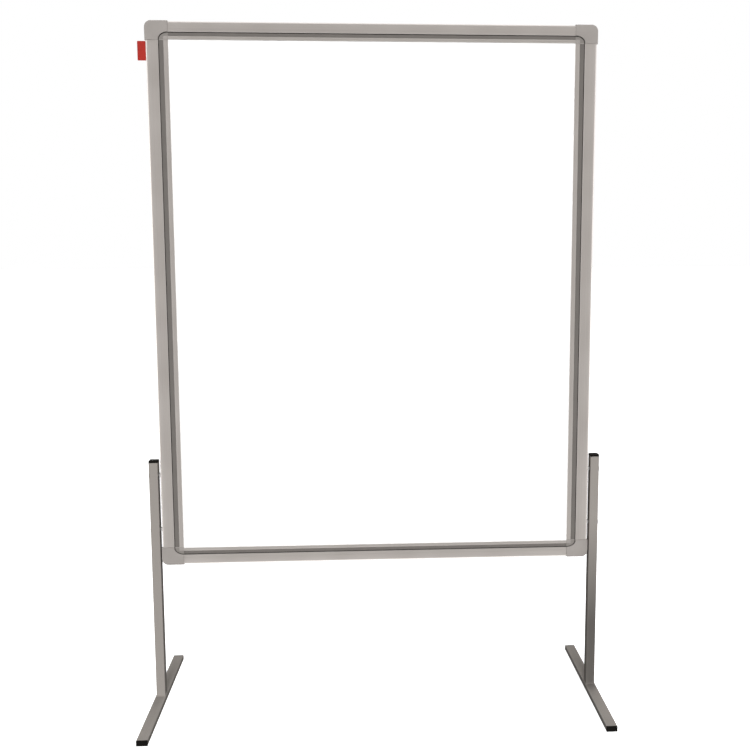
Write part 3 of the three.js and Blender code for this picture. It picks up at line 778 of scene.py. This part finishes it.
def outer_ring(inset=0.0):
    """The cover's outer edge, moved inward by `inset`."""
    x = STILE_WIDTH + PROUD_SIDE - inset
    z = RAIL_WIDTH + PROUD_SIDE - inset
    return square_ring(x, z, COVER_RADIUS - inset, 41)


def cover_rings():
    """Every ring of a cover as (outline, depth from the middle plane), outside and then inside."""
    pole = np.zeros((len(RAYS), 2))
    rings = [(pole, LIP_FACE), (box_ring(scale=0.5), LIP_FACE), (box_ring(-0.5 * MM), LIP_FACE)]
    rings += [(box_ring(-0.15 * MM), LIP_FACE - 0.15 * MM), (box_ring(), INLAY_FACE + 0.15 * MM)]
    rings += [(box_ring(0.3 * MM), INLAY_FACE), (ellipse_ring(-SLIT - 0.1 * MM), INLAY_FACE)]
    rings += [(ellipse_ring(-SLIT), INLAY_FACE - 0.1 * MM), (ellipse_ring(-SLIT), GROOVE_FLOOR)]
    rings += [(ellipse_ring(), GROOVE_FLOOR), (ellipse_ring(), INLAY_FACE + 0.8 * MM)]
    for t in np.linspace(0, pi / 2, 5):
        rings.append((ellipse_ring(STEP * (1 - np.cos(t))), COVER_FACE - STEP * (1 - np.sin(t))))
    rings.append(((ellipse_ring(STEP) + outer_ring(3 * MM)) / 2, COVER_FACE))
    for t in np.linspace(0, pi / 2, 8):
        inset = ROUND_OVER * (1 - np.sin(t))
        rings.append((outer_ring(inset), COVER_FACE - ROUND_OVER * (1 - np.cos(t))))
    rings += [(outer_ring(), COVER_BACK + 0.3 * MM), (outer_ring(0.3 * MM), COVER_BACK)]
    inside_face = COVER_FACE - COVER_WALL
    under_floor = GROOVE_FLOOR - WALL
    rings += [(outer_ring(COVER_WALL), COVER_BACK), (outer_ring(COVER_WALL), inside_face)]
    rings += [(ellipse_ring(COVER_WALL), inside_face), (ellipse_ring(COVER_WALL), under_floor)]
    rings += [(box_ring(), under_floor), (box_ring(-0.1 * MM), LIP_INNER), (pole, LIP_INNER)]
    return rings


def corner_grid(rings, side_x, side_z, side_y):
    """Rings of (outline, depth) in place: x and z run from the opening's corner to the board's."""
    corner_x = (RIGHT - STILE_WIDTH) if side_x > 0 else (LEFT + STILE_WIDTH)
    corner_z = (TOP - RAIL_WIDTH) if side_z > 0 else (BOTTOM + RAIL_WIDTH)
    rows = []
    for outline, depth in rings:
        x, z = outline.T
        y = np.full(len(x), side_y * depth)
        rows.append(np.stack([corner_x + side_x * x, y, corner_z + side_z * z], axis=1))
    return np.array(rows)


CORNERS = {
    f"{vertical}_{horizontal}_{face}": (side_x, side_z, side_y)
    for vertical, side_z in (("top", 1), ("bottom", -1))
    for horizontal, side_x in (("left", -1), ("right", 1))
    for face, side_y in (("front", -1), ("back", 1))
}

# Along the stile every outline goes on past its last ray, by OVERRUN.
long_rings = [(np.vstack([o, [o[-1, 0], -OVERRUN]]), depth) for o, depth in cover_rings()]
for label, sides in CORNERS.items():
    grid_mesh(
        f"cover_{label}", corner_grid(long_rings, *sides), wrap_rows=True, wrap_columns=False,
        material=corner_plastic, replaced=[f"corner_cover_{label}"], slot="corner_plastic")
print("corner covers:", len(long_rings), "rings,", len(RAYS) + 1, "rays each")

# %% [markdown]
# ## Corner strips
# Where the groove turns the corner, a strip of the same ribbed kind lies in the cover's recess.
# Its grey, a little lighter than the long strips and darker than the cover, is painted shade of the
# recess. It fills the space between the lip patch and the arc, and leaves an open slit along the
# arc, as the long strips do along the flange.

# %% Corner strips
STRIP_RISE = 0.35 * MM
STRIP_RIBS = 3


def strip_rings():
    """Rings between the lip patch and the arc. Their height is STRIP_RIBS cosine waves."""
    inner, outer = box_ring(0.5 * MM), ellipse_ring(-SLIT - 0.2 * MM)
    side_depth = INLAY_FACE - 0.1 * MM
    rings = [(inner, side_depth)]
    for k in np.linspace(0, 1, STRIP_RIBS * 6 + 1):
        wave = (1.6 - 0.6 * np.cos(2 * pi * STRIP_RIBS * k)) / 2.2
        rings.append((inner + (outer - inner) * k, INLAY_FACE + STRIP_RISE * wave))
    return rings + [(outer, side_depth)]


# Each corner strip's grey is painted shade of the cover's recess.
for label, sides in CORNERS.items():
    grid_mesh(f"corner_strip_{label}", corner_grid(strip_rings(), *sides), wrap_rows=True,
              wrap_columns=False, material=recess_shade_grey, slot="groove_inlay")
print("corner strips:", len(strip_rings()), "rings each")

# %% [markdown]
# ## Painted shade in the slit
# A thin round near-black cord lies in the slit between flange and strip, all the way round the
# opening. Its black is painted shade: it draws the fine dark line where the flange wall shades
# the slit. It is a circle carried along a closed path: four straight runs, joined by four quarter
# ellipses that are parallel to the arcs of the covers.

# %% Painted shade in the slit
SLIT_SHADE_RADIUS = 0.65 * MM
SLIT_SHADE_SIDES = 10


def slit_shade_path():
    """The closed path in x and z: quarter ellipses around the opening's corners, in turn."""
    half_x = STILE["lip"] + STILE["groove"] - SLIT / 2
    half_z = RAIL["lip"] + RAIL["groove"] - SLIT / 2
    t = np.linspace(0, pi / 2, 25)
    quarters = []
    for turn, x, z in (
        (0, RIGHT - STILE_WIDTH, TOP - RAIL_WIDTH),
        (1, LEFT + STILE_WIDTH, TOP - RAIL_WIDTH),
        (2, LEFT + STILE_WIDTH, BOTTOM + RAIL_WIDTH),
        (3, RIGHT - STILE_WIDTH, BOTTOM + RAIL_WIDTH),
    ):
        angle = t + turn * pi / 2
        quarters.append(np.stack([x + half_x * np.cos(angle), z + half_z * np.sin(angle)], axis=1))
    return np.concatenate(quarters)


def make_slit_shade_cord(face, side_y):
    """A circle of SLIT_SHADE_RADIUS around each point of the path, square to the path's direction."""
    path = slit_shade_path()
    ahead = unit(np.roll(path, -1, axis=0) - path)
    before = unit(path - np.roll(path, 1, axis=0))
    along = unit(ahead + before)
    out = np.stack([along[:, 1], -along[:, 0]], axis=1)
    turn = np.linspace(0, 2 * pi, SLIT_SHADE_SIDES, endpoint=False)[None, :]
    level = GROOVE_FLOOR + SLIT_SHADE_RADIUS + 0.05 * MM
    grid = np.stack([
        path[:, :1] + out[:, :1] * SLIT_SHADE_RADIUS * np.cos(turn),
        side_y * (level + np.zeros((len(path), 1)) + SLIT_SHADE_RADIUS * np.sin(turn)),
        path[:, 1:] + out[:, 1:] * SLIT_SHADE_RADIUS * np.cos(turn),
    ], axis=2)
    grid_mesh(f"seal_{face}", grid, wrap_rows=True, material=seal_rubber, slot="black_plastic")


# The cords are painted shade in the slits, on the front and on the back.
make_slit_shade_cord("front", -1)
make_slit_shade_cord("back", 1)
print("slit_shade_cords:", len(slit_shade_path()), "points on each path")

# %% [markdown]
# ## Post caps
# A moulded cap closes the top of each post: a plug with thin ribs grips the inside of the tube,
# and a flange with a softly crowned top covers its end. It is a stack of rounded squares.

# %% Post caps
def stack(levels, steps=6):
    """A stack of rounded rectangles, each (half x, half y, radius, height)."""
    rows = [
        np.column_stack([rounded_rectangle(hx, hy, r, steps), np.full(4 * (steps + 1), h)])
        for hx, hy, r, h in levels
    ]
    return np.array(rows)


CAP_CORNER = 2 * MM
CAP_ROUND = 1.3 * MM
CAP_CROWN = 0.3 * MM
PLUG_CORNER = 1 * MM
PLUG_GROOVE = 0.6 * MM  # how far the plug is set back between its ribs
PLUG_INSET = 1.8 * MM  # how far its ribs are inside the flange's edge


def post_cap_levels(half, height, plug_half, plug_length):
    """Levels from the plug's end to the middle of the crown, as (half, radius, height)."""
    neck = plug_half - PLUG_GROOVE
    levels = [(neck - PLUG_GROOVE, 0.8 * MM, -plug_length), (neck, PLUG_CORNER, 0.8 * MM - plug_length)]
    for z in np.linspace(2.5 * MM - plug_length, -3.5 * MM, 4):
        levels += [(neck, PLUG_CORNER, z - 0.7 * MM), (plug_half, PLUG_CORNER, z)]
        levels += [(neck, PLUG_CORNER, z + 0.5 * MM)]
    levels += [(neck, PLUG_CORNER, 0), (half - 0.2 * MM, CAP_CORNER, 0), (half, CAP_CORNER, 0.2 * MM)]
    for t in np.linspace(0, pi / 2, 6):
        inset = CAP_ROUND * (1 - np.cos(t))
        levels.append((half - inset, CAP_CORNER, height - CAP_CROWN - CAP_ROUND * (1 - np.sin(t))))
    for k in np.linspace(0.8, 0.05, 6):
        levels.append((half * k, CAP_CORNER * k, height - CAP_CROWN * k * k))
    return [(h, h, r, z) for h, r, z in levels]


for side in ("left", "right"):
    low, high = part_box(f"{side}_post_cap")
    post_low, post_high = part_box(f"{side}_post")
    half = (high.x - low.x) / 2
    seat = post_high.z + FIT
    levels = post_cap_levels(half, high.z - seat, half - PLUG_INSET, seat - low.z)
    grid = stack(levels) + np.array([(low.x + high.x) / 2, (low.y + high.y) / 2, seat])
    grid_mesh(f"cap_post_{side}", grid, material=black_plastic, body=f"{side}_leg",
              replaced=[f"{side}_post_cap"], slot="black_plastic")
print("post caps seated at", round(seat, 4))

# %% [markdown]
# ## Side tab
# A thin moulded flag is clipped into the slot of the left stile. A raised rim runs round a sunk
# field on both faces, as on moulded labels, and its foot is a wider bar inside the slot.

# %% Side tab
TAB_THICKNESS = 1.4 * MM
TAB_RADIUS = 2.0 * MM
TAB_RIM = 1.8 * MM
TAB_SUNK = 0.4 * MM
TAB_FOOT = 2.0 * MM
TAB_SOFT = 0.3 * MM  # rounding of its edges


def tab_levels(half_x, half_z):
    """From the field on the front to the field on the back, as (half x, half z, radius, y)."""
    half = TAB_THICKNESS / 2
    steps = (
        (TAB_RIM + TAB_SOFT, TAB_SUNK - half), (TAB_RIM, -half), (TAB_SOFT, -half), (0, TAB_SOFT - half),
        (0, half - TAB_SOFT), (TAB_SOFT, half), (TAB_RIM, half), (TAB_RIM + TAB_SOFT, half - TAB_SUNK),
    )
    return [
        (half_x - inset, half_z - inset, max(TAB_RADIUS - inset, TAB_SOFT), y) for inset, y in steps
    ]


tab_low, tab_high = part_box("side_tab")
blade_end = tab_high.x - TAB_FOOT / 2
tab_z = (tab_low.z + tab_high.z) / 2
half_tab = (tab_high.z - tab_low.z) / 2
blade = stack(tab_levels((blade_end - tab_low.x) / 2, half_tab))[..., [0, 2, 1]]
blade = blade + np.array([(blade_end + tab_low.x) / 2, (tab_low.y + tab_high.y) / 2, tab_z])
grid_mesh("side_tab_blade", blade, material=tab_plastic, replaced=["side_tab"], slot="tab_red")

foot_half = (tab_high.y - tab_low.y) / 2
foot_levels = [
    (foot_half - inset, half_tab - TAB_RADIUS - inset, TAB_SOFT, x)
    for inset, x in ((TAB_SOFT, 0), (0, TAB_SOFT), (0, TAB_FOOT - TAB_SOFT), (TAB_SOFT, TAB_FOOT))
]
tab_foot = stack(foot_levels)[..., [2, 0, 1]]
tab_foot = tab_foot + np.array([tab_high.x - TAB_FOOT, (tab_low.y + tab_high.y) / 2, tab_z])
grid_mesh("side_tab_foot", tab_foot, material=tab_plastic, slot="tab_red")
print("side tab from", tuple(tab_low), "to", tuple(tab_high))

# %% [markdown]
# ## Weld beads
# Post and foot are taken to be welded together all round. A bead is a thin rope of metal laid in the corner
# between them, with a ripple for each drop that froze. It is a circle carried round a rounded
# square, with a radius that swells and shrinks along the way, and it is painted with the leg.

# %% Weld beads
BEAD_RADIUS = 1.7 * MM
BEAD_RIPPLE = 0.12
DROPS = 64


def weld_bead(name, centre, half, height, body):
    """A circle swept round a rounded square. Its radius is BEAD_RADIUS times 1 plus a sine."""
    path = rounded_rectangle(half, half, 2 * MM, 8)
    steps = np.linspace(0, 1, DROPS * 6, endpoint=False)
    closed = np.vstack([path, path[:1]])
    run = np.append(0, np.cumsum(np.linalg.norm(np.diff(closed, axis=0), axis=1)))
    x, y = (np.interp(steps * run[-1], run, closed[:, k]) for k in (0, 1))
    away = unit(np.stack([np.roll(y, -1) - np.roll(y, 1), np.roll(x, 1) - np.roll(x, -1)], axis=1))
    radius = BEAD_RADIUS * (1 + BEAD_RIPPLE * np.sin(2 * pi * DROPS * steps))
    turn = np.linspace(0, 2 * pi, 12, endpoint=False)[None, :]
    out = radius[:, None] * np.cos(turn)
    up = radius[:, None] * np.sin(turn)
    grid = np.stack([
        centre[0] + x[:, None] + away[:, :1] * out,
        centre[1] + y[:, None] + away[:, 1:] * out,
        height + up,
    ], axis=2)
    grid_mesh(name, grid, wrap_rows=True, material=powder_coat, slot="leg_paint", body=body)


for side in ("left", "right"):
    low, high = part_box(f"{side}_post")
    foot_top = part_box(f"{side}_foot")[1].z
    centre = ((low.x + high.x) / 2, (low.y + high.y) / 2)
    weld_bead(f"weld_{side}", centre, (high.x - low.x) / 2, foot_top + 0.3 * MM, f"{side}_leg")
print("weld beads:", BEAD_RADIUS / MM, "mm")

# %% [markdown]
# ## Bolts, washers, spacers and hole plugs
# Each leg is clamped by two bolts whose heads sit inside the post, where an access hole in its
# outer wall lets a key reach them. A button head is domed and has a six-sided socket: it is a
# stack of rings along the bolt's axis, and the ring at the socket's mouth is a hexagon, so circle
# turns into hexagon between two rings. Washers and spacers are closed rings with eased edges. A
# plug with a crowned face closes each access hole.

# %% Fasteners
AROUND = np.linspace(0, 2 * pi, 48, endpoint=False)
SPOKES = np.stack([np.cos(AROUND), np.sin(AROUND)], axis=1)
SHANK_RADIUS = 4 * MM
HOLE_RADIUS = 4.4 * MM
ACCESS_RADIUS = 9 * MM
SLEEVE_WALL = 1.6 * MM
HEAD_HEIGHT = 4.4 * MM
DOME_START = 0.9 * MM
KEY_SIZE = 5 * MM
KEY_DEPTH = 2.4 * MM


def circle(radius):
    """Points of a circle at the angles AROUND."""
    return radius * SPOKES


def hexagon(flats):
    """A hexagon as distance by angle: half the flats over the cosine of the angle to a side."""
    to_side = (AROUND + pi / 6) % (pi / 3) - pi / 6
    return (flats / 2 / np.cos(to_side))[:, None] * SPOKES


def along_x(rings, x0, out, centre):
    """Rings of (outline, distance) placed along X: out is +1 or -1, the way the bolt head faces."""
    rows = [
        np.column_stack([np.full(len(o), x0 + out * d), centre[0] + o[:, 0], centre[1] + o[:, 1]])
        for o, d in rings
    ]
    return np.array(rows)


def bolt_rings(length, head):
    """From the tip up the shank, over the dome, down the socket to the middle of its floor."""
    ease = 0.2 * MM
    seat = length - HEAD_HEIGHT
    dome = seat + DOME_START
    rings = [(circle(0.1 * MM), 0), (circle(SHANK_RADIUS - 0.8 * MM), 0), (circle(SHANK_RADIUS), 0.8 * MM)]
    rings += [(circle(SHANK_RADIUS), seat - ease), (circle(SHANK_RADIUS + ease), seat)]
    rings += [(circle(head - ease), seat), (circle(head), seat + ease), (circle(head), dome)]
    for t in np.linspace(0.12, 1, 9) * pi / 2:
        reach = (head - KEY_SIZE * 0.75) * (1 - np.cos(t))
        rings.append((circle(head - reach), dome + (HEAD_HEIGHT - DOME_START) * np.sin(t)))
    rings += [(circle(KEY_SIZE * 0.66), length), (hexagon(KEY_SIZE), length - 0.35 * MM)]
    rings += [(hexagon(KEY_SIZE), length - KEY_DEPTH)]
    rings += [(circle(0.1 * MM), length - KEY_DEPTH - 0.8 * MM)]
    return rings


def ring_rings(inner, outer, thickness, edge):
    """A closed ring's section: inner wall, one face, outer wall, other face, edges eased."""
    return [
        (circle(inner), edge), (circle(inner + edge), 0),
        (circle(outer - edge), 0), (circle(outer), edge),
        (circle(outer), thickness - edge), (circle(outer - edge), thickness),
        (circle(inner + edge), thickness), (circle(inner), thickness - edge),
    ]


def plug_rings(flange, sleeve, bore, depth, rise):
    """From the floor of the sleeve's bore, round its end, under the flange and over the crown."""
    rings = [(circle(0.1 * MM), 0.2 * MM), (circle(bore), 0.2 * MM), (circle(bore), -depth)]
    rings += [(circle(sleeve - 0.4 * MM), -depth), (circle(sleeve), 0.6 * MM - depth)]
    rings += [(circle(sleeve), 0), (circle(flange - 0.15 * MM), 0), (circle(flange), 0.15 * MM)]
    for t in np.linspace(0, 1, 7) * pi / 2:
        inset = 1.1 * MM * (1 - np.cos(t))
        rings.append((circle(flange - inset), 0.15 * MM + (rise - 0.35 * MM) * np.sin(t)))
    for k in np.linspace(3 * MM, 0.97 * flange, 6):
        rings.append((circle(flange - k), rise - 0.2 * MM * (1 - k / flange)))
    return rings


def fastener(node, side, level, out):
    """Where a fastener's node starts, its centre, radius and length. out is -1 on the left."""
    low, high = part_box(f"{node}_{side}_{level}")
    start = high.x if out < 0 else low.x
    return start, ((low.y + high.y) / 2, (low.z + high.z) / 2), (high.y - low.y) / 2, high.x - low.x


def place_fasteners(side, level, out):
    """Makes the bolt, washer, spacer and hole plug of one bolt hole."""
    label = f"{side}_{level}"
    leg = f"{side}_leg"
    start, centre, radius, length = fastener("clamp_bolt", side, level, out)
    rings = bolt_rings(length, radius)
    grid_mesh(f"bolt_{label}", along_x(rings, start, out, centre), material=zinc_plate,
              body=leg, replaced=[f"clamp_bolt_{label}"], slot="zinc_steel")
    for node, edge in (("washer", 0.25 * MM), ("spacer", 0.4 * MM)):
        start, centre, radius, length = fastener(node, side, level, out)
        rings = ring_rings(HOLE_RADIUS, radius, length, edge)
        grid_mesh(f"{node}_ring_{label}", along_x(rings, start, out, centre), wrap_rows=True,
                  material=zinc_plate, body=leg, replaced=[f"{node}_{label}"], slot="zinc_steel")
    start, centre, radius, length = fastener("hole_plug", side, level, out)
    low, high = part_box(f"{side}_post")
    seat = (low.x if out < 0 else high.x) + out * FIT
    sleeve = ACCESS_RADIUS - FIT
    depth = abs(seat - start)
    rings = plug_rings(radius, sleeve, sleeve - SLEEVE_WALL, depth, length - depth)
    grid_mesh(f"plug_{label}", along_x(rings, seat, out, centre), material=black_plastic,
              body=leg, replaced=[f"hole_plug_{label}"], slot="black_plastic")


for side, out in (("left", -1), ("right", 1)):
    for level in ("lower", "upper"):
        place_fasteners(side, level, out)
print("fasteners: 4 bolts, washers, spacers and plugs")

# %% [markdown]
# ## Finishes on the carried-over pieces
# Tubes, foot caps, sheets, core, brackets and slot nuts have the right shape already, so they
# keep their CAD meshes and only get their finish.

# %% Finish the CAD nodes
FINISHES = {
    "_post": powder_coat,
    "_foot": powder_coat,
    "foot_cap_": black_plastic,
    "writing_sheet_": white_enamel,
    "panel_core": fibre_board,
    "corner_bracket_": cast_metal,
    "slot_nut_": zinc_plate,
}

finished = set()
for node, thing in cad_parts.items():
    for key, material in FINISHES.items():
        if key in node:
            thing.data.materials.clear()
            thing.data.materials.append(material)
            finished.add(node)
print("finished CAD nodes:", len(finished))
